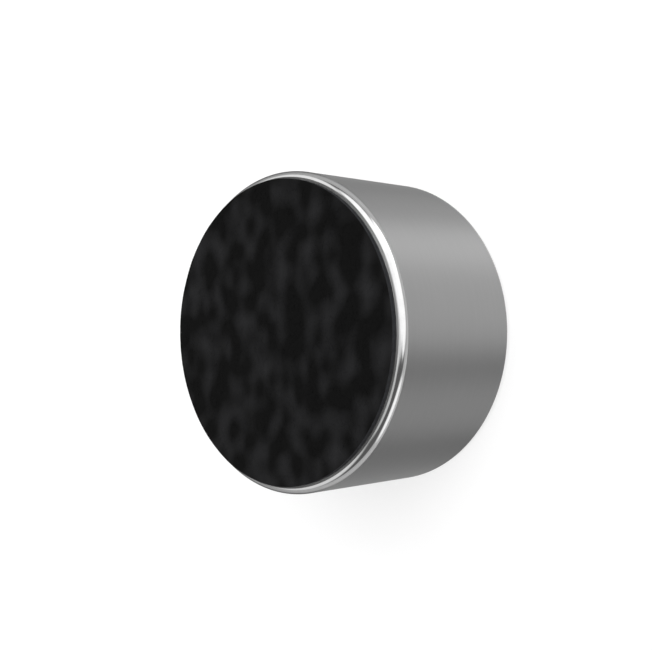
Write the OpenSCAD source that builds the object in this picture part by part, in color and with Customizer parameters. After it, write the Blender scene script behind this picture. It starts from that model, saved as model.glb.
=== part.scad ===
// Electret microphone capsule with solder terminals: a drawn aluminium can with a felt dust
// cover on its front, closed at the rear by a circuit board that the can's edge is crimped over.
// All sizes are in millimetres. The capsule stands on its crimped rear face at Z = 0, and +Z runs
// along its axis towards the felt. The output terminal lies at -X and the ground terminal at +X.

/* [Can] */
// Outside diameter of the drawn can
can_d = 9.7; // [9:0.1:11]
// Height of the can from the crimped rear face to the front face
can_h = 5; // [4.2:0.1:7]
// Thickness of the can's sheet
sheet_t = 0.2; // [0.15:0.01:0.25]
// Outside radius of the can's front edge
front_edge_r = 0.26; // [0.26:0.01:0.34]
// Outside radius of the bend into the crimped lip
crimp_r = 0.26; // [0.26:0.01:0.34]
// Diameter of the opening that the crimped lip leaves
crimp_opening_d = 8.1; // [7.8:0.1:8.5]
// Diameter of each sound port in the front wall
port_d = 0.8; // [0.5:0.1:1]
// Number of sound ports around the central one
port_count = 6; // [3:1:8]
// Diameter of the circle that the outer sound ports lie on
port_circle_d = 3.2; // [2.8:0.1:4]

/* [Felt cover] */
// Width of bare metal between the can's outside and the felt's edge
felt_margin = 0.26; // [0.26:0.01:0.6]
// Thickness of the felt
felt_t = 0.15; // [0.1:0.01:0.3]
// Thickness of the adhesive under the felt
adhesive_t = 0.05; // [0.03:0.01:0.1]
// Diameter of the window that the adhesive leaves over the sound ports
adhesive_window_d = 6; // [5.5:0.1:7]

/* [Diaphragm and back plate] */
// Radial gap between the stacked pieces and the can's bore
stack_gap = 0.1; // [0.08:0.01:0.15]
// Thickness of the ring that the diaphragm is bonded to
ring_t = 0.4; // [0.3:0.05:0.6]
// Radial width of the ring that the diaphragm is bonded to
ring_w = 0.8; // [0.6:0.05:1]
// Thickness of the metallised diaphragm film
film_t = 0.012; // [0.01:0.001:0.02]
// Thickness of the spacer that sets the air gap
spacer_t = 0.04; // [0.03:0.005:0.06]
// Thickness of the charged film on the back plate
electret_t = 0.025; // [0.02:0.005:0.05]
// Thickness of the back plate
plate_t = 0.3; // [0.2:0.05:0.4]
// How far the back plate reaches out under the spacer
plate_overlap = 0.35; // [0.3:0.05:0.4]
// Diameter of each air hole in the back plate
plate_hole_d = 0.7; // [0.4:0.1:1]
// Number of air holes around the back plate's central one
plate_hole_count = 6; // [4:1:8]
// Diameter of the circle that the back plate's air holes lie on
plate_hole_circle_d = 4.4; // [3:0.1:5]

/* [Holder and contact ring] */
// Radial gap between the back plate and its seat in the holder
plate_gap = 0.03; // [0.02:0.01:0.05]
// How far the contact ring's outside lies within the back plate's edge
contact_inset = 0.3; // [0.25:0.05:0.4]
// Radial wall of the contact ring between the back plate and the board
contact_w = 0.35; // [0.25:0.05:0.45]
// Radial gap between the contact ring and the holder's bore
contact_gap = 0.05; // [0.02:0.01:0.1]

/* [Circuit board] */
// Thickness of the board's laminate
board_t = 0.8; // [0.6:0.1:1]
// Thickness of the copper on each side of the board
copper_t = 0.035; // [0.018:0.001:0.05]
// Distance between the centres of the two terminals
terminal_pitch = 2.54; // [2.4:0.02:2.8]
// Diameter of each terminal's copper pad
terminal_d = 1.8; // [1.5:0.1:2]
// Diameter of the plated hole that joins each terminal to the front copper
via_d = 0.4; // [0.3:0.05:0.5]
// Width of the copper rings' land beside the pieces that press on them
land_margin = 0.15; // [0.1:0.01:0.2]
// Width of the board's tracks and of the spokes to the ground ring
track_w = 0.4; // [0.3:0.05:0.5]
// Number of spokes from the ground terminal to the ground ring
spoke_count = 3; // [1:1:5]
// Angle between neighbouring spokes
spoke_angle = 38; // [25:1:40]
// Width of copper left round the solder on each terminal
solder_margin = 0.1; // [0.05:0.01:0.2]
// Gap between the crown of the solder and the rear seat
solder_clearance = 0.05; // [0.03:0.01:0.08]
// Radius of the shoulder between the solder's level crown and its edge
solder_shoulder_r = 0.3; // [0.25:0.01:0.4]

/* [Transistor] */
// Length of the transistor's body
transistor_l = 2.9; // [2.6:0.1:3]
// Width of the transistor's body
transistor_w = 1.3; // [1.2:0.1:1.5]
// Height of the transistor's body
transistor_h = 0.95; // [0.8:0.05:1.1]
// Gap between the transistor's body and the copper under it
transistor_standoff = 0.06; // [0.03:0.01:0.1]
// How far the body's faces lean in from its parting line
transistor_draft = 0.06; // [0.03:0.01:0.1]
// Width of each lead
lead_w = 0.4; // [0.3:0.05:0.45]
// Thickness of each lead
lead_t = 0.12; // [0.08:0.01:0.15]
// Inside radius of each bend in a lead
lead_bend_r = 0.08; // [0.05:0.01:0.1]
// Distance between the tips of opposite leads
lead_span = 2.5; // [2.4:0.1:2.8]
// Distance from the body's middle to each of the paired leads
lead_offset = 0.95; // [0.9:0.01:1]
// Length of lead that lies inside the body
lead_root = 0.3; // [0.2:0.05:0.4]

/* [Bypass capacitors] */
// Length of a chip capacitor
chip_l = 1; // [0.9:0.05:1.2]
// Width of a chip capacitor
chip_w = 0.5; // [0.4:0.05:0.6]
// Height of a chip capacitor
chip_h = 0.5; // [0.3:0.05:0.7]
// Length of the metal cap on each end of a chip
chip_cap_l = 0.25; // [0.15:0.01:0.3]
// Thickness of the metal cap on each end of a chip
chip_cap_t = 0.03; // [0.02:0.01:0.05]
// Distance between the two chips' centre lines
chip_pitch = 0.75; // [0.7:0.05:0.8]
// Gap between the leads' tips and the nearer chip
chip_clearance = 0.35; // [0.3:0.05:0.4]

/* [Component solder] */
// How far the solder runs out from a lead's tip or a chip's end
fillet_l = 0.15; // [0.1:0.01:0.2]
// Thickness of the solder at its thin edge
fillet_edge = 0.03; // [0.02:0.01:0.05]

/* [Hidden] */
$fn = 96;
// Overshoot of every cutting shape
cut = 1;

// Radii, from the can inwards
can_r = can_d / 2;
bore_r = can_r - sheet_t;
stack_r = bore_r - stack_gap;
ring_bore_r = stack_r - ring_w;
plate_r = ring_bore_r + plate_overlap;
plate_seat_r = plate_r + plate_gap;
contact_r = plate_r - contact_inset;
contact_bore_r = contact_r - contact_w;
holder_bore_r = contact_r + contact_gap;
felt_r = can_r - felt_margin;
front_corner_r = front_edge_r - sheet_t;
crimp_corner_r = crimp_r - sheet_t;

// Heights, from the rear seat up to the contact ring
rear_copper_z = sheet_t;
board_z = rear_copper_z + copper_t;
board_top_z = board_z + board_t;
front_copper_z = board_top_z + copper_t;

// Heights, from the felt down to the back plate
front_wall_z = can_h - sheet_t;
ring_z = front_wall_z - ring_t;
film_z = ring_z - film_t;
spacer_z = film_z - spacer_t;
electret_z = spacer_z - electret_t;
plate_z = electret_z - plate_t;

// Terminals and tracks
terminal_x = terminal_pitch / 2;
solder_r = terminal_d / 2 - solder_margin;
solder_h = sheet_t - solder_clearance;
solder_crown_r = solder_r - sqrt((2 * solder_shoulder_r - solder_h) * solder_h);
gate_ring_bore_r = contact_bore_r - land_margin;
ground_ring_r = stack_r - land_margin;
ground_ring_bore_r = crimp_opening_d / 2 - land_margin;

// Transistor and chips on the front copper
body_z = front_copper_z + transistor_standoff;
lead_z = body_z + (transistor_h - lead_t) / 2;
lead_leg_y = transistor_w / 2 + lead_bend_r + lead_t;
foot_y = (lead_leg_y + lead_span / 2) / 2;
foot_l = lead_span / 2 - lead_leg_y;
near_chip_y = -(lead_span / 2 + chip_clearance + chip_w / 2);
far_chip_y = near_chip_y - chip_pitch;
chip_pad_x = (chip_l - chip_cap_l + fillet_l) / 2;
chip_pad_l = chip_cap_l + fillet_l + track_w / 2;

// Outline from the axis out to r, with both outer corners rounded.
module round_cornered_half(r, h, bottom_r, top_r) {
    square([r - bottom_r, h / 2]);
    translate([0, h / 2]) square([r - top_r, h / 2]);
    translate([0, bottom_r]) square([r, h - bottom_r - top_r]);
    translate([r - bottom_r, bottom_r]) circle(bottom_r);
    translate([r - top_r, h - top_r]) circle(top_r);
}

// Flat ring with its lower face at z.
module flat_ring(z, h, outer_r, inner_r) {
    translate([0, 0, z]) linear_extrude(h) difference() {
        circle(outer_r);
        circle(inner_r);
    }
}

// Hole pattern of one central circle and a ring of equal circles around it.
module hole_pattern(d, count, circle_d) {
    circle(d = d);
    for (i = [0 : count - 1]) rotate(i * 360 / count) translate([circle_d / 2, 0]) circle(d = d);
}

// Perforated disc with its lower face at z.
module perforated_disc(z, h, r) {
    translate([0, 0, z]) linear_extrude(h) difference() {
        circle(r);
        hole_pattern(plate_hole_d, plate_hole_count, plate_hole_circle_d);
    }
}

// Drawn cup, open at the rear, with its edge bent inwards over the board.
module can() {
    color("silver") difference() {
        rotate_extrude() difference() {
            round_cornered_half(can_r, can_h, crimp_r, front_edge_r);
            translate([0, sheet_t])
                round_cornered_half(bore_r, can_h - 2 * sheet_t, crimp_corner_r, front_corner_r);
            translate([0, -cut]) square([crimp_opening_d / 2, 2 * cut]);
        }
        translate([0, 0, can_h - cut]) linear_extrude(2 * cut)
            hole_pattern(port_d, port_count, port_circle_d);
    }
}

// Die-cut felt disc that keeps dust out of the sound ports.
module dust_felt() {
    color([0.11, 0.11, 0.11]) translate([0, 0, can_h + adhesive_t]) cylinder(felt_t, r = felt_r);
}

// Adhesive ring that was cut together with the felt and leaves the ports free.
module felt_adhesive() {
    color([0.15, 0.15, 0.15]) flat_ring(can_h, adhesive_t, felt_r, adhesive_window_d / 2);
}

// Metal ring behind the front wall, bevelled to clear the can's inner corner.
module diaphragm_ring() {
    color("goldenrod") rotate_extrude() polygon([
        [ring_bore_r, ring_z],
        [stack_r, ring_z],
        [stack_r, front_wall_z - front_corner_r],
        [stack_r - front_corner_r, front_wall_z],
        [ring_bore_r, front_wall_z]
    ]);
}

// Metallised film bonded to the rear of its ring.
module diaphragm() {
    color("gainsboro") translate([0, 0, film_z]) cylinder(film_t, r = stack_r);
}

// Thin washer that holds the film off the charged film.
module spacer_ring() {
    color("khaki") flat_ring(spacer_z, spacer_t, stack_r, ring_bore_r);
}

// Charged film laminated to the front of the back plate.
module electret_film() {
    color("whitesmoke") perforated_disc(electret_z, electret_t, plate_r);
}

// Fixed electrode behind the diaphragm.
module back_plate() {
    color("darkgoldenrod") perforated_disc(plate_z, plate_t, plate_r);
}

// Plastic sleeve that keeps the back plate and contact ring off the can.
module insulating_holder() {
    color("ivory") rotate_extrude() difference() {
        translate([holder_bore_r, board_top_z])
            square([stack_r - holder_bore_r, spacer_z - board_top_z]);
        translate([0, plate_z]) square([plate_seat_r, plate_t + electret_t + cut]);
    }
}

// Metal tube that joins the back plate to the gate track.
module gate_contact_ring() {
    color("peru")
        flat_ring(front_copper_z, plate_z - front_copper_z, contact_r, contact_bore_r);
}

// Laminate disc with two plated holes.
module circuit_board() {
    color("darkgreen") translate([0, 0, board_z]) linear_extrude(board_t) difference() {
        circle(stack_r);
        for (side = [-1, 1]) translate([side * terminal_x, 0]) circle(d = via_d);
    }
}

// Pad for one lead's foot, centred on x.
module lead_pad(x, side) {
    translate([x, side * foot_y]) square([lead_w + track_w / 2, foot_l + 2 * fillet_l], center = true);
}

// Front copper of the gate: the contact ring's land, and an arm to the lead.
module gate_track() {
    color("goldenrod") translate([0, 0, board_top_z]) linear_extrude(copper_t) {
        difference() {
            circle(contact_r);
            circle(gate_ring_bore_r);
        }
        translate([-track_w / 2, foot_y]) square([track_w, contact_bore_r - foot_y]);
        lead_pad(0, 1);
    }
}

// Front copper of one terminal, on the +X side: its plated hole's land, a lead's pad and both
// chips' pads, joined by tracks.
module terminal_front_copper() {
    translate([terminal_x, 0]) circle(d = via_d + track_w);
    translate([terminal_x - track_w / 2, far_chip_y]) square([track_w, -far_chip_y]);
    lead_pad(lead_offset, -1);
    for (y = [near_chip_y, far_chip_y]) {
        translate([chip_pad_x, y]) square([chip_pad_l, chip_w], center = true);
        translate([chip_pad_x, y - track_w / 2]) square([terminal_x - chip_pad_x, track_w]);
    }
}

// Plated hole of one terminal, from its rear pad through to its front copper.
module terminal_via(x) {
    translate([x, 0, rear_copper_z]) cylinder(front_copper_z - rear_copper_z, d = via_d);
}

// Copper of the output: front tracks, plated hole and rear pad.
module output_track() {
    color("goldenrod") {
        translate([0, 0, board_top_z]) linear_extrude(copper_t)
            mirror([1, 0]) terminal_front_copper();
        terminal_via(-terminal_x);
        translate([-terminal_x, 0, rear_copper_z]) cylinder(copper_t, d = terminal_d);
    }
}

// Copper of the ground: front tracks, plated hole, rear pad, and spokes to the ring under the lip.
module ground_track() {
    color("goldenrod") {
        translate([0, 0, board_top_z]) linear_extrude(copper_t) terminal_front_copper();
        terminal_via(terminal_x);
        translate([0, 0, rear_copper_z]) linear_extrude(copper_t) {
            difference() {
                circle(ground_ring_r);
                circle(ground_ring_bore_r);
            }
            translate([terminal_x, 0]) circle(d = terminal_d);
            intersection() {
                for (i = [0 : spoke_count - 1])
                    translate([terminal_x, 0]) rotate((i - (spoke_count - 1) / 2) * spoke_angle)
                        translate([0, -track_w / 2]) square([can_r, track_w]);
                circle((ground_ring_r + ground_ring_bore_r) / 2);
            }
        }
    }
}

// Levelled puddle of solder on a terminal, standing out to the rear, with a rounded shoulder.
module terminal_solder(x) {
    translate([x, 0, rear_copper_z]) mirror([0, 0, 1]) rotate_extrude() {
        square([solder_crown_r, solder_h]);
        intersection() {
            translate([solder_crown_r, solder_h - solder_shoulder_r]) circle(solder_shoulder_r);
            translate([solder_crown_r, 0]) square([solder_shoulder_r, solder_h]);
        }
    }
}

module output_solder() {
    color("lightgray") terminal_solder(-terminal_x);
}

module ground_solder() {
    color("lightgray") terminal_solder(terminal_x);
}

// Six-sided outline of a moulded body that leans in above and below its parting line.
module drafted_outline(w) {
    polygon([
        [-w / 2 + transistor_draft, 0],
        [w / 2 - transistor_draft, 0],
        [w / 2, transistor_h / 2],
        [w / 2 - transistor_draft, transistor_h],
        [-w / 2 + transistor_draft, transistor_h],
        [-w / 2, transistor_h / 2]
    ]);
}

// Moulded body, with room for the roots of its three leads.
module transistor_body() {
    color("dimgray") difference() {
        translate([0, 0, body_z]) intersection() {
            translate([0, transistor_w, 0]) rotate([90, 0, 0])
                linear_extrude(2 * transistor_w) drafted_outline(transistor_l);
            translate([-transistor_l, 0, 0]) rotate([90, 0, 90])
                linear_extrude(2 * transistor_l) drafted_outline(transistor_w);
        }
        lead(0, 1);
        lead(-lead_offset, -1);
        lead(lead_offset, -1);
    }
}

// Quarter of a strip's bend, in the quadrant that sx and sy give, about its centre of curvature.
module bend(sx, sy) {
    intersection() {
        difference() {
            circle(lead_bend_r + lead_t);
            circle(lead_bend_r);
        }
        scale([sx, sy]) square(lead_bend_r + 2 * lead_t);
    }
}

// Side view of a lead, from its root in the body, over and down to its foot.
module lead_outline() {
    root_y = transistor_w / 2 - lead_root;
    shoulder_y = lead_leg_y - lead_bend_r - lead_t;
    heel_y = lead_leg_y + lead_bend_r;
    translate([root_y, lead_z]) square([shoulder_y - root_y, lead_t]);
    translate([shoulder_y, lead_z - lead_bend_r]) bend(1, 1);
    translate([lead_leg_y - lead_t, front_copper_z + lead_t + lead_bend_r])
        square([lead_t, lead_z - front_copper_z - lead_t - 2 * lead_bend_r]);
    translate([heel_y, front_copper_z + lead_t + lead_bend_r]) bend(-1, -1);
    translate([heel_y, front_copper_z]) square([lead_span / 2 - heel_y, lead_t]);
}

// Gull-wing lead centred on x, pointing to +Y or -Y.
module lead(x, side) {
    translate([x, 0, 0]) rotate(side > 0 ? 0 : 180)
        translate([-lead_w / 2, 0, 0]) rotate([90, 0, 90]) linear_extrude(lead_w) lead_outline();
}

module gate_lead() {
    color("silver") lead(0, 1);
}

module drain_lead() {
    color("silver") lead(-lead_offset, -1);
}

module source_lead() {
    color("silver") lead(lead_offset, -1);
}

// Block centred on [0, y] that stands on the front copper.
module chip_block(y, l, w, z, h) {
    translate([-l / 2, y - w / 2, front_copper_z + z]) cube([l, w, h]);
}

// Ceramic of a chip, without the metal on its ends.
module chip_ceramic(y) {
    color("tan") difference() {
        chip_block(y, chip_l, chip_w, 0, chip_h);
        chip_caps(y);
    }
}

// The two metal caps folded over the ends of a chip.
module chip_caps(y) {
    two_caps = 2 * chip_cap_t;
    color("lightgray") difference() {
        chip_block(y, chip_l, chip_w, 0, chip_h);
        chip_block(y, chip_l - two_caps, chip_w - two_caps, chip_cap_t, chip_h - two_caps);
        chip_block(y, chip_l - 2 * chip_cap_l, chip_w + cut, -cut, chip_h + 2 * cut);
    }
}

module bypass_capacitor_near() {
    chip_ceramic(near_chip_y);
}

module bypass_capacitor_near_caps() {
    chip_caps(near_chip_y);
}

module bypass_capacitor_far() {
    chip_ceramic(far_chip_y);
}

module bypass_capacitor_far_caps() {
    chip_caps(far_chip_y);
}

// Wedge of solder on the front copper, w wide, that rises to h against a face at x = 0.
module solder_fillet(w, h) {
    translate([0, w / 2, front_copper_z]) rotate([90, 0, 0]) linear_extrude(w) polygon([
        [0, 0],
        [fillet_l, 0],
        [fillet_l, fillet_edge],
        [fillet_edge, h],
        [0, h]
    ]);
}

// Solder at the three leads' tips and at the four ends of the chips.
module component_solder() {
    color("lightgray") {
        translate([0, lead_span / 2, 0]) rotate(90) solder_fillet(lead_w, lead_t);
        for (side = [-1, 1]) {
            translate([side * lead_offset, -lead_span / 2, 0]) rotate(-90) solder_fillet(lead_w, lead_t);
            for (y = [near_chip_y, far_chip_y])
                translate([side * chip_l / 2, y, 0]) rotate(side > 0 ? 0 : 180)
                    solder_fillet(chip_w, chip_h / 2);
        }
    }
}

can();
dust_felt();
felt_adhesive();
diaphragm_ring();
diaphragm();
spacer_ring();
electret_film();
back_plate();
insulating_holder();
gate_contact_ring();
circuit_board();
gate_track();
output_track();
ground_track();
output_solder();
ground_solder();
transistor_body();
gate_lead();
drain_lead();
source_lead();
bypass_capacitor_near();
bypass_capacitor_near_caps();
bypass_capacitor_far();
bypass_capacitor_far_caps();
component_solder();
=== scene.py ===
"""Looks of an electret microphone capsule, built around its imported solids.

The frame is the capsule's own, in metres: +Z runs along the axis from the crimped rear face, which it
stands on, to the felt. The camera is rolled a quarter turn, so that the axis lies across the picture,
+Y points to the picture's top and the camera stands over +X.
"""

import logging
import math
from dataclasses import dataclass
from enum import Enum

import bmesh
import bpy
import numpy as np
from mathutils import Matrix, Vector, noise


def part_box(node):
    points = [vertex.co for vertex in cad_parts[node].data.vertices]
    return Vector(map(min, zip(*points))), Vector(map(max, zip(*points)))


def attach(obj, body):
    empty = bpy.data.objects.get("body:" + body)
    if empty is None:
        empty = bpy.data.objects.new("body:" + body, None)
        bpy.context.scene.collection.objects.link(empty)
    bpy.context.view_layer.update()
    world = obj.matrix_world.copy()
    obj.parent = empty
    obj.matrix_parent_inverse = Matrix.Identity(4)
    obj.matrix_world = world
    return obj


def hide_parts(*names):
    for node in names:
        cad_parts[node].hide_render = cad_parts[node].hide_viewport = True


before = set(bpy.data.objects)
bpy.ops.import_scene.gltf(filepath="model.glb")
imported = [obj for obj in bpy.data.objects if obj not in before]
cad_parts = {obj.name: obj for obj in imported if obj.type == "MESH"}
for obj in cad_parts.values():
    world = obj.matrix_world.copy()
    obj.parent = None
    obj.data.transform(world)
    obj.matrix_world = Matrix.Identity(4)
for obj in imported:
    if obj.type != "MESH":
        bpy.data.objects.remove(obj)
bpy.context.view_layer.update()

log = logging.getLogger("capsule")

MM = 0.001
BODY = "root"
# Corners that turn by more than this stay sharp in the shading.
SHARP_DEG = 35.0
# Blender counts the rotation of a smeared gloss in whole turns.
QUARTER_TURN = 0.25

# A half section: points as radius and height.
Section = list[tuple[float, float]]


def linear(colour: str) -> tuple[float, float, float, float]:
    """Turn an sRGB hex colour into a linear one, by the curve of that standard.

    Args:
        colour: six hex digits after a hash sign.

    Returns:
        Red, green, blue and alpha as Blender's sockets take them.
    """
    levels = [int(colour[i : i + 2], 16) / 255 for i in (1, 3, 5)]
    red, green, blue = (c / 12.92 if c <= 0.04045 else ((c + 0.055) / 1.055) ** 2.4 for c in levels)
    return red, green, blue, 1.0


def per_metre(size_mm: float) -> float:
    """Texture scale at which one feature of a pattern is size_mm wide."""
    return 1 / (size_mm * MM)


def add_node(
    tree: bpy.types.NodeTree,
    kind: str,
    inputs: dict[str | int, object] | None = None,
    **settings: str,
) -> bpy.types.Node:
    """Add a node, set its options and fill its inputs.

    Args:
        tree: tree that gets the node.
        kind: Blender's name for the node type.
        inputs: socket name or index to a plain value, or to an output socket to link from.
        settings: the node's own options.

    Returns:
        The new node.
    """
    node = tree.nodes.new(kind)
    for key, value in settings.items():
        setattr(node, key, value)
    for key, value in (inputs or {}).items():
        if isinstance(value, bpy.types.NodeSocket):
            tree.links.new(value, node.inputs[key])
        else:
            node.inputs[key].default_value = value
    return node


class Grain(Enum):
    """How a surface's fine pattern is stretched, as factors on X, Y and Z.

    Rings are drawn over the distance from the axis instead of over X, Y and Z.
    """

    CLOUDED = (1.0, 1.0, 1.0)
    ROUND_THE_AXIS = (0.04, 0.04, 1.0)
    ALONG_THE_AXIS = (1.0, 1.0, 0.04)
    UPRIGHT = (1.0, 0.72, 1.0)
    RINGS = (1.0, 0.0, 0.0)


@dataclass(frozen=True)
class Finish:
    """A material named for what it is made of and how its surface was made.

    Attributes:
        name: the material's name.
        colour: sRGB hex colour where the pattern is lightest.
        shade: sRGB hex colour where the pattern is darkest.
        grain: how the pattern is stretched.
        grain_mm: width of one feature of the pattern.
        relief_mm: height of the pattern as relief.
        roughness: roughness in the middle of the pattern.
        roughness_span: how far the roughness changes over the pattern.
        metallic: 1 for bare metal.
        anisotropic: how far grooves round the axis smear the gloss along it.
        specular: strength of the shine, 0.5 for a plain plastic.
        coat: weight of a clear coat.
        detail: how many finer layers the pattern holds.
        edge_tint: what is left of a metal's shine at grazing angles.
        span: part of the noise's range that the pattern is stretched from.
    """

    name: str
    colour: str
    shade: str
    grain: Grain
    grain_mm: float
    relief_mm: float
    roughness: float
    roughness_span: float
    metallic: float = 0.0
    anisotropic: float = 0.0
    specular: float = 0.5
    coat: float = 0.0
    detail: float = 3.0
    edge_tint: str = "#FFFFFF"
    span: tuple[float, float] = (0.3, 0.7)

    def pattern(self, tree: bpy.types.NodeTree) -> bpy.types.NodeSocket:
        """Add the fine pattern that colour, gloss and relief share.

        Args:
            tree: tree of the material.

        Returns:
            A socket with the pattern, from 0 to 1.
        """
        spot = add_node(tree, "ShaderNodeTexCoord").outputs["Object"]
        if self.grain is Grain.RINGS:
            flat = add_node(tree, "ShaderNodeVectorMath", {0: spot, 1: (1, 1, 0)}, operation="MULTIPLY")
            reach = add_node(tree, "ShaderNodeVectorMath", {0: flat.outputs[0]}, operation="LENGTH")
            spot = add_node(tree, "ShaderNodeCombineXYZ", {0: reach.outputs["Value"]}).outputs[0]
        stretched = add_node(tree, "ShaderNodeMapping", {"Vector": spot, "Scale": self.grain.value})
        clouds = add_node(
            tree,
            "ShaderNodeTexNoise",
            {"Vector": stretched.outputs[0], "Scale": per_metre(self.grain_mm), "Detail": self.detail},
        )
        spread = add_node(
            tree,
            "ShaderNodeMapRange",
            {"Value": clouds.outputs["Fac"], "From Min": self.span[0], "From Max": self.span[1]},
        )
        return spread.outputs[0]

    def material(self) -> bpy.types.Material:
        """Build the material, or give back the one already built.

        Returns:
            The Blender material.
        """
        known = bpy.data.materials.get(self.name)
        if known is not None:
            return known
        made = bpy.data.materials.new(self.name)
        made.use_nodes = True
        tree = made.node_tree
        shader = tree.nodes["Principled BSDF"]
        pattern = self.pattern(tree)
        colour = add_node(
            tree,
            "ShaderNodeMix",
            {"Factor": pattern, 6: linear(self.shade), 7: linear(self.colour)},
            data_type="RGBA",
        )
        half = self.roughness_span / 2
        gloss = add_node(
            tree,
            "ShaderNodeMapRange",
            {"Value": pattern, "To Min": self.roughness + half, "To Max": self.roughness - half},
        )
        bump = add_node(tree, "ShaderNodeBump", {"Height": pattern, "Distance": self.relief_mm * MM})
        tree.links.new(colour.outputs[2], shader.inputs["Base Color"])
        tree.links.new(gloss.outputs[0], shader.inputs["Roughness"])
        tree.links.new(bump.outputs[0], shader.inputs["Normal"])
        constants = {
            "Metallic": self.metallic,
            "Specular IOR Level": self.specular,
            "Coat Weight": self.coat,
            "Anisotropic": self.anisotropic,
            "Specular Tint": linear(self.edge_tint),
        }
        for socket, value in constants.items():
            shader.inputs[socket].default_value = value
        if self.anisotropic:
            # The grooves run round the can, so its gloss spreads along the axis.
            shader.inputs["Anisotropic Rotation"].default_value = QUARTER_TURN
            around = add_node(tree, "ShaderNodeTangent", direction_type="RADIAL", axis="Z")
            tree.links.new(around.outputs[0], shader.inputs["Tangent"])
        return made


# Drawn aluminium that was tumbled: a fine satin that smears every light along the axis. Its grooves are
# too fine to show and are drawn coarser, 0.08 mm apart and almost level.
DRAWN_ALUMINIUM = Finish(
    "drawn_aluminium_satin", "#8F8F8F", "#8E8E8E", Grain.ROUND_THE_AXIS, 0.08, 0.00003, 0.56, 0.01,
    metallic=1.0, anisotropic=1.0, edge_tint="#626262",
)
# Aluminium that the drawing die rubbed smooth: a grey mirror in which only the lit cloths turn white.
BURNISHED_ALUMINIUM = Finish(
    "burnished_aluminium", "#AAAAAA", "#A4A4A4", Grain.CLOUDED, 0.25, 0.0002, 0.11, 0.03,
    metallic=1.0, edge_tint="#686868",
)
# Aluminium that the crimping roll folded over: less bright than the burnished nose, with ring marks
# that are drawn coarser than the real ones, 0.05 mm apart, so that they show.
ROLLED_ALUMINIUM = Finish(
    "rolled_aluminium", "#B2B2B2", "#A2A2A2", Grain.RINGS, 0.05, 0.0006, 0.38, 0.06, metallic=1.0,
)
# Pressed polypropylene felt: matt black, in soft clumps of a third to nine tenths of a millimetre.
PRESSED_FELT = Finish(
    "pressed_black_felt", "#212122", "#0C0C0C", Grain.UPRIGHT, 0.56, 0.004, 0.93, 0.06,
    specular=0.05, detail=0.2, span=(0.38, 0.86),
)
# The felt's die-cut edge, where fibre ends stand out. Its colour is lighter than the pressed face's, a
# painted sheen for the light that those fibre ends catch. They are drawn coarser than they are, in tufts
# of 0.1 mm, so that they show.
FELT_EDGE_PAINTED_SHEEN = Finish(
    "felt_edge_painted_sheen", "#28292B", "#202022", Grain.CLOUDED, 0.1, 0.003, 0.9, 0.08, specular=0.1,
)
# Loose polypropylene fibres on the felt: the same black and clumps, with a little more shine.
FELT_FIBRE = Finish(
    "black_felt_fibre", "#232324", "#0D0D0D", Grain.UPRIGHT, 0.56, 0.001, 0.85, 0.1,
    specular=0.05, detail=0.2, span=(0.38, 0.86),
)
# Acrylic transfer tape: dark, slightly shiny at its cut edge.
ACRYLIC_TAPE = Finish(
    "acrylic_transfer_tape", "#252526", "#1A1A1B", Grain.CLOUDED, 0.2, 0.002, 0.6, 0.1, specular=0.3,
)
# Turned and punched brass: yellow, with tool rings that are drawn coarser than they are, 0.06 mm apart.
CUT_BRASS = Finish(
    "cut_brass", "#C9A962", "#B4944F", Grain.RINGS, 0.06, 0.001, 0.32, 0.12, metallic=1.0,
)
# Polyester film with a sputtered metal coat: almost a mirror.
METALLISED_POLYESTER = Finish(
    "metallised_polyester", "#D8D8DA", "#C8C8CB", Grain.CLOUDED, 0.8, 0.0005, 0.12, 0.04, metallic=1.0,
)
# Die-cut polyester: straw-coloured, half matt.
CUT_POLYESTER = Finish(
    "cut_polyester", "#D9CFAE", "#CBBF9B", Grain.CLOUDED, 0.5, 0.001, 0.45, 0.1,
)
# Cast fluoropolymer film: milky and waxy.
CAST_FLUOROPOLYMER = Finish(
    "cast_fluoropolymer", "#E4E6E6", "#D6D9DA", Grain.CLOUDED, 0.6, 0.0005, 0.3, 0.08,
)
# Moulded liquid-crystal polymer: ivory, with faint flow marks.
MOULDED_POLYMER = Finish(
    "moulded_polymer", "#DCD5C3", "#CDC5B0", Grain.ALONG_THE_AXIS, 0.3, 0.003, 0.5, 0.12,
)
# Glass-epoxy laminate under green solder resist: glossy, faintly rippled by the glass cloth.
RESIST_ON_LAMINATE = Finish(
    "solder_resist_on_laminate", "#1A6440", "#155637", Grain.CLOUDED, 0.3, 0.003, 0.32, 0.1, coat=0.3,
)
# Etched copper with a gold flash: warm and softly bright.
GOLD_FLASHED_COPPER = Finish(
    "gold_flashed_copper", "#E0B765", "#C99D4E", Grain.CLOUDED, 0.15, 0.0015, 0.3, 0.12, metallic=1.0,
)
# Reflowed tin solder: bright, with the faint frost of its grains.
REFLOWED_SOLDER = Finish(
    "reflowed_tin_solder", "#D3D3D0", "#C4C4C1", Grain.CLOUDED, 0.3, 0.004, 0.24, 0.12, metallic=1.0,
)
# Transfer-moulded epoxy: black and slightly rough from its filler.
MOULDED_EPOXY = Finish(
    "moulded_epoxy", "#262627", "#1B1B1C", Grain.CLOUDED, 0.05, 0.002, 0.62, 0.1,
)
# Matt tin plate on copper leads and end caps: grey-white, no mirror. Its crystals are drawn coarser than
# they are, 0.06 mm wide.
MATT_TIN = Finish(
    "matt_tin_plate", "#C9C9C6", "#B4B4B1", Grain.CLOUDED, 0.06, 0.001, 0.42, 0.12, metallic=1.0,
)
# Sintered barium titanate: tan and chalky. Its grains are drawn coarser than they are, 0.05 mm wide.
SINTERED_CERAMIC = Finish(
    "sintered_ceramic", "#A58A68", "#93795A", Grain.CLOUDED, 0.05, 0.001, 0.6, 0.1,
)

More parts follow.
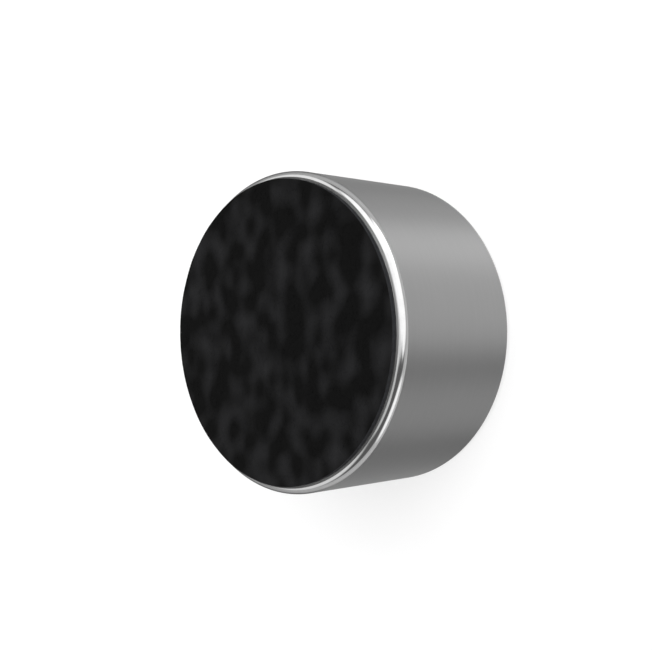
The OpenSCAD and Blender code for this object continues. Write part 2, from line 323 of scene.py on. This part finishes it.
NODE_FINISHES = {
    "felt_adhesive": ACRYLIC_TAPE,
    "diaphragm_ring": CUT_BRASS,
    "diaphragm": METALLISED_POLYESTER,
    "spacer_ring": CUT_POLYESTER,
    "electret_film": CAST_FLUOROPOLYMER,
    "back_plate": CUT_BRASS,
    "insulating_holder": MOULDED_POLYMER,
    "gate_contact_ring": CUT_BRASS,
    "circuit_board": RESIST_ON_LAMINATE,
    "gate_track": GOLD_FLASHED_COPPER,
    "output_track": GOLD_FLASHED_COPPER,
    "ground_track": GOLD_FLASHED_COPPER,
    "transistor_body": MOULDED_EPOXY,
    "gate_lead": MATT_TIN,
    "drain_lead": MATT_TIN,
    "source_lead": MATT_TIN,
    "bypass_capacitor_near": SINTERED_CERAMIC,
    "bypass_capacitor_near_caps": MATT_TIN,
    "bypass_capacitor_far": SINTERED_CERAMIC,
    "bypass_capacitor_far_caps": MATT_TIN,
    "component_solder": REFLOWED_SOLDER,
}


def place(name: str, mesh: bpy.types.Mesh, node: str | None) -> bpy.types.Object:
    """Put a finished mesh into the scene as a piece of the capsule.

    Args:
        name: the piece's name.
        mesh: its mesh, in the capsule's frame.
        node: the solid that it stands for, if any.

    Returns:
        The new object.
    """
    piece = bpy.data.objects.new(name, mesh)
    bpy.context.scene.collection.objects.link(piece)
    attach(piece, BODY)
    if node is not None:
        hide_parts(node)
    return piece


def smooth(mesh: bpy.types.Mesh) -> None:
    """Shade a mesh smooth, apart from its sharp corners.

    Args:
        mesh: mesh to shade.
    """
    shaped = bmesh.new()
    shaped.from_mesh(mesh)
    for face in shaped.faces:
        face.smooth = True
    for edge in shaped.edges:
        edge.smooth = len(edge.link_faces) == 2 and edge.calc_face_angle(0.0) < math.radians(SHARP_DEG)
    shaped.to_mesh(mesh)
    shaped.free()


def arc(centre: tuple[float, float], radius: float, start: float, end: float, steps: int) -> Section:
    """Points along an arc of a half section.

    Args:
        centre: centre of the arc as radius and height.
        radius: the arc's own radius.
        start: first angle in degrees, from outwards towards the felt.
        end: last angle in degrees.
        steps: number of chords.

    Returns:
        Points as radius and height.
    """
    angles = [math.radians(start + (end - start) * i / steps) for i in range(steps + 1)]
    return [(centre[0] + radius * math.cos(a), centre[1] + radius * math.sin(a)) for a in angles]


def lathe(
    name: str,
    outline: Section,
    turns: int,
    closed: bool,
    centre: tuple[float, float] = (0.0, 0.0),
) -> bpy.types.Mesh:
    """Turn a half section about an axis along Z.

    Args:
        name: name of the mesh.
        outline: points as radius and height; a point on the axis becomes one vertex.
        turns: number of facets round the axis.
        closed: whether the last point joins the first.
        centre: X and Y of the axis.

    Returns:
        The new mesh.
    """
    shaped = bmesh.new()
    rings = []
    for radius, height in outline:
        count = turns if radius > 0 else 1
        angles = [2 * math.pi * i / turns for i in range(count)]
        spots = [(centre[0] + radius * math.cos(a), centre[1] + radius * math.sin(a)) for a in angles]
        rings.append([shaped.verts.new((x, y, height)) for x, y in spots])
    pairs = list(zip(rings, rings[1:] + rings[:1])) if closed else list(zip(rings, rings[1:]))
    for near, far in pairs:
        for i in range(turns if max(len(near), len(far)) > 1 else 0):
            j = (i + 1) % turns
            corners = [near[i % len(near)], near[j % len(near)], far[j % len(far)], far[i % len(far)]]
            shaped.faces.new(list(dict.fromkeys(corners)))
    bmesh.ops.recalc_face_normals(shaped, faces=shaped.faces)
    mesh = bpy.data.meshes.new(name)
    shaped.to_mesh(mesh)
    shaped.free()
    return mesh


@dataclass
class Can:
    """The drawn can: wall, rounded front edge, perforated front and crimped lip.

    Attributes:
        radius: outside radius of the wall.
        height: height of the front over the rear face.
        sheet: thickness of the sheet.
        front_edge: outside radius of the front edge.
        crimp: outside radius of the rolled-in rear edge.
        opening: radius of the hole that the lip leaves at the rear.
        port: radius of a sound port.
        port_circle: radius of the circle of ports round the middle one.
        ports: number of ports on that circle.
        turns: facets round the axis.
        edge_steps: chords across a rounded edge.
        band: width of the strip beside a rounded edge that keeps the flats flat in the shading.
        burnished_deg: where the shine on the front edge begins and ends, in degrees from the front.
        rolled_deg: where the ring marks on the rear edge end, in degrees from the rear face.
        port_turns: facets round a port.
        drill_depth: length of the drill that cuts a port.
    """

    radius: float
    height: float
    sheet: float = 0.2 * MM
    front_edge: float = 0.26 * MM
    crimp: float = 0.26 * MM
    opening: float = 4.05 * MM
    port: float = 0.4 * MM
    port_circle: float = 1.6 * MM
    ports: int = 6
    turns: int = 320
    edge_steps: int = 18
    band: float = 0.01 * MM
    burnished_deg: tuple[float, float] = (15.0, 75.0)
    rolled_deg: float = 66.0
    port_turns: int = 48
    drill_depth: float = 0.8 * MM

    def outline(self) -> Section:
        """Half section of the can, from the middle of the front round to the inside.

        Returns:
            Points as radius and height.
        """
        band, half_steps = self.band, self.edge_steps // 2
        wall, rim, roll = self.radius, self.front_edge, self.crimp
        inner_rim, inner_roll = rim - self.sheet, roll - self.sheet
        bore, ceiling = wall - self.sheet, self.height - self.sheet
        return [
            (0.0, self.height),
            (wall - rim - band, self.height),
            *reversed(arc((wall - rim, self.height - rim), rim, 0, 90, self.edge_steps)),
            (wall, self.height - rim - band),
            (wall, roll + band),
            *arc((wall - roll, roll), roll, 0, -90, self.edge_steps),
            (wall - roll - band, 0.0),
            (self.opening, 0.0),
            (self.opening, self.sheet),
            (bore - inner_roll - band, self.sheet),
            *arc((bore - inner_roll, self.sheet + inner_roll), inner_roll, -90, 0, half_steps),
            *arc((bore - inner_rim, ceiling - inner_rim), inner_rim, 0, 90, half_steps),
            (0.0, ceiling),
        ]

    def cut_ports(self, mesh: bpy.types.Mesh) -> bpy.types.Mesh:
        """Drill the sound ports through the front.

        Args:
            mesh: the can without ports.

        Returns:
            The drilled mesh.
        """
        angles = [2 * math.pi * i / self.ports for i in range(self.ports)]
        circle = [(self.port_circle * math.cos(a), self.port_circle * math.sin(a)) for a in angles]
        middle = self.height - self.sheet / 2
        drills = bmesh.new()
        for x, y in [(0.0, 0.0), *circle]:
            bmesh.ops.create_cone(
                drills,
                cap_ends=True,
                segments=self.port_turns,
                radius1=self.port,
                radius2=self.port,
                depth=self.drill_depth,
                matrix=Matrix.Translation((x, y, middle)),
            )
        drill_mesh = bpy.data.meshes.new("port_drills")
        drills.to_mesh(drill_mesh)
        drills.free()
        blank = bpy.data.objects.new("can_blank", mesh)
        drill = bpy.data.objects.new("port_drills", drill_mesh)
        for thing in (blank, drill):
            bpy.context.scene.collection.objects.link(thing)
        cut = blank.modifiers.new("ports", "BOOLEAN")
        cut.operation = "DIFFERENCE"
        cut.solver = "EXACT"
        cut.object = drill
        ready = blank.evaluated_get(bpy.context.evaluated_depsgraph_get())
        drilled = bpy.data.meshes.new_from_object(ready)
        for thing in (blank, drill):
            bpy.data.objects.remove(thing)
        return drilled

    def dress(self, mesh: bpy.types.Mesh) -> None:
        """Give the wall its satin, the nose of the front edge its shine and the lip its ring marks.

        Args:
            mesh: the finished can.
        """
        mesh.materials.clear()
        finishes = (DRAWN_ALUMINIUM, BURNISHED_ALUMINIUM, ROLLED_ALUMINIUM)
        for finish in finishes:
            mesh.materials.append(finish.material())
        drops = [1 - math.cos(math.radians(angle)) for angle in (*self.burnished_deg, self.rolled_deg)]
        shine_from, shine_to = self.front_edge * drops[0], self.front_edge * drops[1]
        marks_to = self.crimp * drops[2]
        for face in mesh.polygons:
            worn = DRAWN_ALUMINIUM
            if shine_from < self.height - face.center.z < shine_to:
                worn = BURNISHED_ALUMINIUM
            elif face.center.z < marks_to:
                worn = ROLLED_ALUMINIUM
            face.material_index = finishes.index(worn)

    def build(self) -> bpy.types.Object:
        """Make the can and put it in place.

        Returns:
            The can's piece.
        """
        mesh = self.cut_ports(lathe("drawn_can", self.outline(), self.turns, closed=True))
        self.dress(mesh)
        smooth(mesh)
        return place("drawn_can", mesh, "can")


@dataclass
class Felt:
    """The dust felt: a pressed disc with an uneven nap, a cut edge and loose fibres.

    Attributes:
        radius: radius of the disc.
        base: height of its underside.
        top: height that nothing on it passes.
        cells: squares across the top's mesh.
        clump: width of a clump of the nap.
        clump_stretch: how much the clumps are stretched along Y, as a factor on their noise.
        tuft: width of a tuft, the finer unevenness of the nap and of the cut edge.
        sink: how far the nap's highest point lies below the top.
        clump_depth: height of the clumps.
        tuft_depth: height of the tufts.
        tuft_layer: layer of the noise that the tufts are taken from.
        edge_round: how far the cut rounds off the upper edge.
        edge_rings: rows of faces down the cut edge.
        edge_layers: layers of the noise that the cut edge runs through from top to base.
        raggedness: how far the cut edge draws in on average, as a share of the radius.
        fibres: number of loose fibres.
        fibre_radius: radius of a fibre.
        fibre_length: shortest and longest fibre.
        fibre_points: points along a fibre.
        fibre_sides: sides of a fibre.
        fibre_bend: spread of the angle, in radians, by which a fibre bends.
        fibre_margin: fibre radii that a fibre's ends stay inside the cut edge.
        seed: start of the random numbers.
    """

    radius: float
    base: float
    top: float
    cells: int = 200
    clump: float = 0.62 * MM
    clump_stretch: float = 0.55
    tuft: float = 0.14 * MM
    sink: float = 0.004 * MM
    clump_depth: float = 0.022 * MM
    tuft_depth: float = 0.008 * MM
    tuft_layer: float = 7.0
    edge_round: float = 0.004 * MM
    edge_rings: int = 5
    edge_layers: float = 3.0
    raggedness: float = 0.0012
    fibres: int = 4000
    fibre_radius: float = 0.006 * MM
    fibre_length: tuple[float, float] = (0.15 * MM, 0.45 * MM)
    fibre_points: int = 5
    fibre_sides: int = 3
    fibre_bend: float = 1.6
    fibre_margin: float = 4.0
    seed: int = 11

    def nap(self, x: float, y: float) -> float:
        """Height of the nap at a point.

        Args:
            x: place across the clumps.
            y: place along the clumps.

        Returns:
            Height in the capsule's frame.
        """
        clumps = noise.noise((x / self.clump, y * self.clump_stretch / self.clump, 0.0))
        tufts = noise.noise((x / self.tuft, y / self.tuft, self.tuft_layer))
        drop = self.clump_depth * (1 - clumps) / 2 + self.tuft_depth * (1 - tufts) / 2
        return self.top - self.sink - max(drop, 0.0)

    def on_disc(self, u: float, v: float) -> tuple[float, float]:
        """Place on the disc of a point of a square from -1 to 1, by equal areas.

        Args:
            u: place across the square.
            v: place up the square.

        Returns:
            X and Y on the disc.
        """
        if u == 0 and v == 0:
            return 0.0, 0.0
        if abs(u) > abs(v):
            reach, angle = u, math.pi / 4 * v / u
        else:
            reach, angle = v, math.pi / 2 - math.pi / 4 * u / v
        return self.radius * reach * math.cos(angle), self.radius * reach * math.sin(angle)

    def disc(self) -> bpy.types.Mesh:
        """Make the disc: a napped top, a rounded cut edge and a flat underside.

        Returns:
            The mesh, with the cut edge on its second material.
        """
        shaped = bmesh.new()
        steps = [2 * i / self.cells - 1 for i in range(self.cells + 1)]
        grid = []
        for v in steps:
            spots = [self.on_disc(u, v) for u in steps]
            grid.append([shaped.verts.new((x, y, self.nap(x, y))) for x, y in spots])
        for row, above in zip(grid, grid[1:]):
            for i in range(self.cells):
                shaped.faces.new((row[i], row[i + 1], above[i + 1], above[i]))
        border = grid[0][:-1] + [row[-1] for row in grid[:-1]]
        border += grid[-1][:0:-1] + [row[0] for row in grid[:0:-1]]
        for vert in border:
            vert.co.z -= self.edge_round
        last = border
        for ring in range(1, self.edge_rings + 1):
            share = ring / self.edge_rings
            layer = Vector((0, 0, self.edge_layers * share))
            loop = []
            for vert in border:
                flat = Vector((vert.co.x, vert.co.y, 0.0))
                ragged = 1 - self.raggedness * (1 + noise.noise(flat / self.tuft + layer))
                height = vert.co.z + (self.base - vert.co.z) * share
                loop.append(shaped.verts.new((flat.x * ragged, flat.y * ragged, height)))
            for i in range(len(border)):
                j = (i + 1) % len(border)
                shaped.faces.new((last[i], loop[i], loop[j], last[j])).material_index = 1
            last = loop
        shaped.faces.new(last)
        bmesh.ops.recalc_face_normals(shaped, faces=shaped.faces)
        mesh = bpy.data.meshes.new("dust_felt_nap")
        shaped.to_mesh(mesh)
        shaped.free()
        return mesh

    def fibre_line(self, draw: np.random.Generator) -> list[Vector]:
        """Lay one loose fibre on the nap.

        Args:
            draw: source of random numbers.

        Returns:
            Points along the fibre.
        """
        length = draw.uniform(*self.fibre_length)
        room = self.radius - length / 2 - self.fibre_margin * self.fibre_radius
        reach = room * math.sqrt(draw.uniform())
        turn, lie = draw.uniform(0, 2 * math.pi, 2)
        bend = draw.normal(0, self.fibre_bend)
        spot = Vector((reach * math.cos(turn), reach * math.sin(turn), 0.0))
        chords = self.fibre_points - 1
        step = length / chords
        line = []
        spot -= Vector((math.cos(lie), math.sin(lie), 0.0)) * length / 2
        for i in range(self.fibre_points):
            line.append(Vector((spot.x, spot.y, self.nap(spot.x, spot.y))))
            way = lie + bend * (i / chords - 0.5)
            spot += Vector((math.cos(way), math.sin(way), 0.0)) * step
        return line

    def fibre_mesh(self) -> bpy.types.Mesh:
        """Make all loose fibres as thin tubes.

        Returns:
            The mesh.
        """
        draw = np.random.default_rng(self.seed)
        points: list[Vector] = []
        faces: list[tuple[int, ...]] = []
        sides = [2 * math.pi * k / self.fibre_sides for k in range(self.fibre_sides)]
        for _ in range(self.fibres):
            line = self.fibre_line(draw)
            first = len(points)
            for i, spot in enumerate(line):
                way = (line[min(i + 1, len(line) - 1)] - line[max(i - 1, 0)]).normalized()
                across = way.cross(Vector((0, 0, 1))).normalized()
                up = across.cross(way)
                spokes = [across * math.cos(a) + up * math.sin(a) for a in sides]
                points += [spot + spoke * self.fibre_radius for spoke in spokes]
            for i in range(len(line) - 1):
                near = first + i * self.fibre_sides
                far = near + self.fibre_sides
                for k in range(self.fibre_sides):
                    m = (k + 1) % self.fibre_sides
                    faces.append((near + k, near + m, far + m, far + k))
            end = first + (len(line) - 1) * self.fibre_sides
            faces.append(tuple(reversed(range(first, first + self.fibre_sides))))
            faces.append(tuple(range(end, end + self.fibre_sides)))
        mesh = bpy.data.meshes.new("felt_fibres")
        mesh.from_pydata([Vector((p.x, p.y, min(p.z, self.top))) for p in points], [], faces)
        mesh.validate()
        return mesh

    def build(self) -> list[bpy.types.Object]:
        """Make the felt and its fibres and put them in place.

        Returns:
            The two pieces.
        """
        disc = self.disc()
        disc.materials.append(PRESSED_FELT.material())
        # The cut edge's colour is lighter than the face's: a painted sheen on the felt's side.
        disc.materials.append(FELT_EDGE_PAINTED_SHEEN.material())
        smooth(disc)
        fibres = self.fibre_mesh()
        fibres.materials.append(FELT_FIBRE.material())
        smooth(fibres)
        return [
            place("dust_felt_nap", disc, "dust_felt"),
            place("felt_fibres", fibres, None),
        ]


@dataclass
class SolderTerminal:
    """One levelled puddle of solder on a rear terminal.

    Attributes:
        node: the solid that it stands for.
        low: lowest corner of that solid's box.
        high: highest corner of that solid's box.
        shoulder: radius of the puddle's rounded shoulder.
        turns: facets round the axis.
        steps: chords across the shoulder.
    """

    node: str
    low: Vector
    high: Vector
    shoulder: float = 0.3 * MM
    turns: int = 96
    steps: int = 12

    def build(self) -> bpy.types.Object:
        """Make the puddle and put it in place.

        Returns:
            The terminal's piece.
        """
        radius, depth = (self.high.x - self.low.x) / 2, self.high.z - self.low.z
        crown = radius - math.sqrt((2 * self.shoulder - depth) * depth)
        tip = math.degrees(math.asin((self.shoulder - depth) / self.shoulder))
        middle = (crown, self.low.z + self.shoulder)
        outline = [
            (0.0, self.high.z),
            *arc(middle, self.shoulder, -tip, -90, self.steps),
            (0.0, self.low.z),
        ]
        axis = ((self.low.x + self.high.x) / 2, (self.low.y + self.high.y) / 2)
        mesh = lathe(self.node + "_puddle", outline, self.turns, closed=False, centre=axis)
        mesh.materials.append(REFLOWED_SOLDER.material())
        smooth(mesh)
        return place(self.node + "_puddle", mesh, self.node)


@dataclass(frozen=True)
class Silk:
    """A lit round of white cloth in the sky, at full level up to its fading border.

    Attributes:
        azimuth: degrees from +X towards +Y.
        elevation: degrees above the floor.
        reach: degrees from its middle to its border.
        fade: degrees over which its border fades.
        level: strength of its light, where 1 is white.
    """

    azimuth: float
    elevation: float
    reach: float
    fade: float
    level: float

    def heading(self) -> Vector:
        """Unit vector towards the middle of the cloth."""
        turn, rise = math.radians(self.azimuth), math.radians(self.elevation)
        return Vector((math.cos(turn) * math.cos(rise), math.sin(turn) * math.cos(rise), math.sin(rise)))


@dataclass
class Studio:
    """Camera, floor and lit sky.

    Attributes:
        aim: middle of the can.
        picture_px: width of the picture in pixels.
        focal_px: focal length in those pixels.
        turn_deg: angle between the camera's line of sight and the capsule's axis.
        distance: how far back the camera stands along its line of sight.
        across: how far the camera stands to the left of the aim.
        down: how far the aim lies below the middle of the picture.
        sensor_mm: width of the camera's sensor.
        clip: nearest and farthest distance that the camera sees.
        floor_radius: radius of the floor.
        floor_turns: facets round the floor.
        floor_colour: sRGB hex colour of the floor.
        glow: light that the floor adds for the camera and for mirrors.
        glow_share: share of the floor's own shading that the glow stands in for.
        horizon: light level of the white band round the horizon.
        horizon_deg: elevation where that band begins to fade and where it ends.
        dusk: light level of the dim room above.
        silks: lit cloths in that room.
    """

    aim: Vector
    picture_px: float = 652.0
    focal_px: float = 1063.45
    turn_deg: float = 44.152
    distance: float = 33.701 * MM
    across: float = 0.3571 * MM
    down: float = 0.2294 * MM
    sensor_mm: float = 36.0
    clip: tuple[float, float] = (1 * MM, 10.0)
    floor_radius: float = 2.0
    floor_turns: int = 128
    floor_colour: str = "#E8E8E8"
    glow: float = 0.61
    glow_share: float = 0.55
    horizon: float = 1.0
    horizon_deg: tuple[float, float] = (16.0, 21.0)
    dusk: float = 0.22
    silks: tuple[Silk, ...] = (
        # The key light, low between the camera and the picture's top, with two wide cloths above it.
        Silk(54, 18, 24, 15, 4.2),
        Silk(42, 32, 34, 16, 2.6),
        Silk(44, 58, 38, 18, 2.4),
        # A fill beside the camera, a cloth on the picture's top side and one behind that.
        Silk(16, 36, 30, 9, 2.5),
        Silk(87, 48, 28, 11, 2.6),
        Silk(134, 31, 22, 11, 2.0),
        # Weak cloths overhead: one in the middle, one further back and a small one on the lower side.
        Silk(70, 86, 24, 12, 1.5),
        Silk(205, 72, 28, 13, 0.9),
        Silk(265, 70, 16, 7, 1.2),
        # A back light on the picture's lower side, and a low one between that side and the camera.
        Silk(231, 38, 26, 15, 1.6),
        Silk(313, 8, 29, 15, 2.35),
    )

    def camera(self) -> None:
        """Set the camera where the picture was taken from, rolled a quarter turn."""
        lens = bpy.data.cameras.new("camera")
        lens.sensor_width = self.sensor_mm
        lens.lens = self.sensor_mm * self.focal_px / self.picture_px
        lens.clip_start, lens.clip_end = self.clip
        turn = math.radians(self.turn_deg)
        right = Vector((math.cos(turn), 0, -math.sin(turn)))
        up = Vector((0, 1, 0))
        back = Vector((math.sin(turn), 0, math.cos(turn)))
        eye = bpy.data.objects.new("camera", lens)
        spot = self.aim - right * self.across + up * self.down + back * self.distance
        eye.matrix_world = Matrix.Translation(spot) @ Matrix((right, up, back)).transposed().to_4x4()
        bpy.context.scene.collection.objects.link(eye)
        bpy.context.scene.camera = eye

    def floor(self) -> None:
        """Lay a pale floor that looks white and keeps the capsule's shadow."""
        shaped = bmesh.new()
        bmesh.ops.create_circle(
            shaped, cap_ends=True, segments=self.floor_turns, radius=self.floor_radius
        )
        mesh = bpy.data.meshes.new("floor")
        shaped.to_mesh(mesh)
        shaped.free()
        laid = bpy.data.objects.new("floor", mesh)
        bpy.context.scene.collection.objects.link(laid)
        paper = bpy.data.materials.new("white_paper")
        paper.use_nodes = True
        tree = paper.node_tree
        tree.nodes.remove(tree.nodes["Principled BSDF"])
        ray = add_node(tree, "ShaderNodeLightPath")
        seen = add_node(
            tree,
            "ShaderNodeMath",
            {0: ray.outputs["Is Camera Ray"], 1: ray.outputs["Is Glossy Ray"]},
            operation="MAXIMUM",
        )
        shown = add_node(
            tree,
            "ShaderNodeMath",
            {0: seen.outputs[0], 1: ray.outputs["Is Transmission Ray"]},
            operation="MAXIMUM",
        )
        matt = add_node(tree, "ShaderNodeBsdfDiffuse", {"Color": linear(self.floor_colour)})
        glow = add_node(tree, "ShaderNodeEmission", {"Strength": self.glow / self.glow_share})
        bright = add_node(
            tree, "ShaderNodeMixShader", {0: self.glow_share, 1: matt.outputs[0], 2: glow.outputs[0]}
        )
        both = add_node(
            tree, "ShaderNodeMixShader", {0: shown.outputs[0], 1: matt.outputs[0], 2: bright.outputs[0]}
        )
        tree.links.new(both.outputs[0], tree.nodes["Material Output"].inputs["Surface"])
        mesh.materials.append(paper)

    def sky(self) -> None:
        """Surround the stage with a white horizon and, above it, a dim room with lit silks."""
        world = bpy.data.worlds.new("studio")
        world.use_nodes = True
        tree = world.node_tree
        way = add_node(tree, "ShaderNodeTexCoord").outputs["Generated"]
        parts = add_node(tree, "ShaderNodeSeparateXYZ", {0: way})
        low, high = (math.sin(math.radians(a)) for a in self.horizon_deg)
        level = add_node(
            tree,
            "ShaderNodeMapRange",
            {
                "Value": parts.outputs["Z"],
                "From Min": low,
                "From Max": high,
                "To Min": self.horizon,
                "To Max": self.dusk,
            },
        ).outputs[0]
        for silk in self.silks:
            towards = add_node(
                tree, "ShaderNodeVectorMath", {0: way, 1: silk.heading()}, operation="DOT_PRODUCT"
            )
            lit = add_node(
                tree,
                "ShaderNodeMapRange",
                {
                    "Value": towards.outputs["Value"],
                    "From Min": math.cos(math.radians(silk.reach)),
                    "From Max": math.cos(math.radians(silk.reach - silk.fade)),
                    "To Max": silk.level,
                },
                interpolation_type="SMOOTHSTEP",
            )
            level = add_node(
                tree, "ShaderNodeMath", {0: level, 1: lit.outputs[0]}, operation="MAXIMUM"
            ).outputs[0]
        tree.links.new(level, tree.nodes["Background"].inputs["Strength"])
        tree.nodes["Background"].inputs["Color"].default_value = (1, 1, 1, 1)
        bpy.context.scene.world = world

    def build(self) -> None:
        """Set up everything round the capsule."""
        bpy.context.scene.view_settings.view_transform = "Standard"
        self.camera()
        self.floor()
        self.sky()


def dress_nodes() -> None:
    """Give each solid that stays its finish."""
    for node, finish in NODE_FINISHES.items():
        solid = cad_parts[node]
        solid.data.materials.clear()
        solid.data.materials.append(finish.material())
        log.info("%s: %s", node, finish.name)


def main() -> None:
    """Build the studio and the capsule, piece by piece."""
    logging.basicConfig(level=logging.INFO, format="%(message)s")
    can_low, can_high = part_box("can")
    Studio(aim=(can_low + can_high) / 2).build()
    can = Can(radius=(can_high.x - can_low.x) / 2, height=can_high.z).build()
    felt_low, felt_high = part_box("dust_felt")
    felt = Felt(radius=(felt_high.x - felt_low.x) / 2, base=felt_low.z, top=felt_high.z).build()
    soldered = ("output_solder", "ground_solder")
    terminals = [SolderTerminal(node, *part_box(node)).build() for node in soldered]
    dress_nodes()
    for piece in [can, *felt, *terminals]:
        log.info("%s: %d faces", piece.name, len(piece.data.polygons))


if __name__ == "__main__":
    main()
